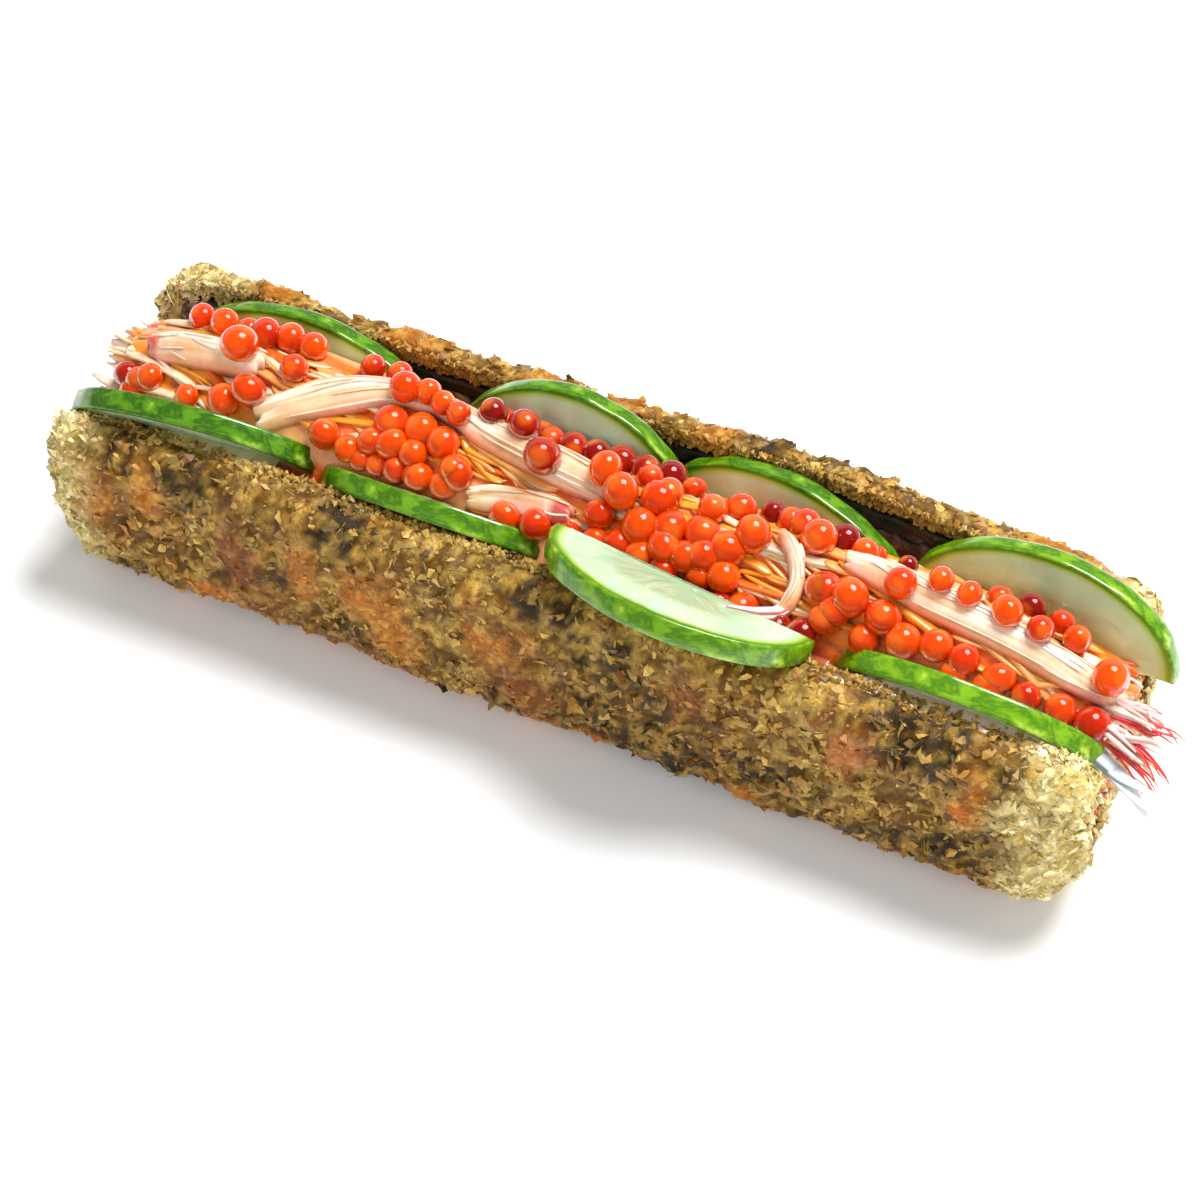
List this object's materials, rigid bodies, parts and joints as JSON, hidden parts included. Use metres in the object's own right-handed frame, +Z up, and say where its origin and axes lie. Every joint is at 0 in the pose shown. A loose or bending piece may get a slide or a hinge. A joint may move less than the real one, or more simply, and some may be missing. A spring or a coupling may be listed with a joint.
{
  "type": "sushi hot dog",
  "caption": "Deep-fried sushi roll opened like a hot dog: a panko-crusted trough of nori and rice filled with crab stick, cucumber half moons and salmon roe.",
  "frame": {"origin": "centre of the bounding box's base, where the roll rests", "axes": "+X along the roll, +Y from the lower near wall to the higher far wall, +Z up"},
  "size_m": [0.2052, 0.0562, 0.0496],
  "materials": {
    "panko_crust": "matte fried breadcrumb crust, olive green to golden brown",
    "nori": "thin dark seaweed sheet",
    "rice": "cooked purple-brown rice grains",
    "cucumber": "moist pale flesh with a deep green skin",
    "crab": "moist ribbed crab stick tinted by sauce",
    "roe": "glossy orange to red salmon roe on sauced crab shreds"
  },
  "bodies": {
    "root": {"panko_crust": "panko_crust", "nori_sheet": "nori", "rice_bed": "rice", "cucumber_far_1": "cucumber", "cucumber_far_2": "cucumber", "cucumber_far_3": "cucumber", "cucumber_far_4": "cucumber", "cucumber_near_1": "cucumber", "cucumber_near_2": "cucumber", "cucumber_near_3": "cucumber", "cucumber_near_4": "cucumber", "crab_strip_left": "crab", "crab_strip_long": "crab", "crab_strip_low": "crab", "crab_strip_loop": "crab", "crab_strip_right": "crab", "crab_and_roe": "roe"}
  },
  "joints": []
}
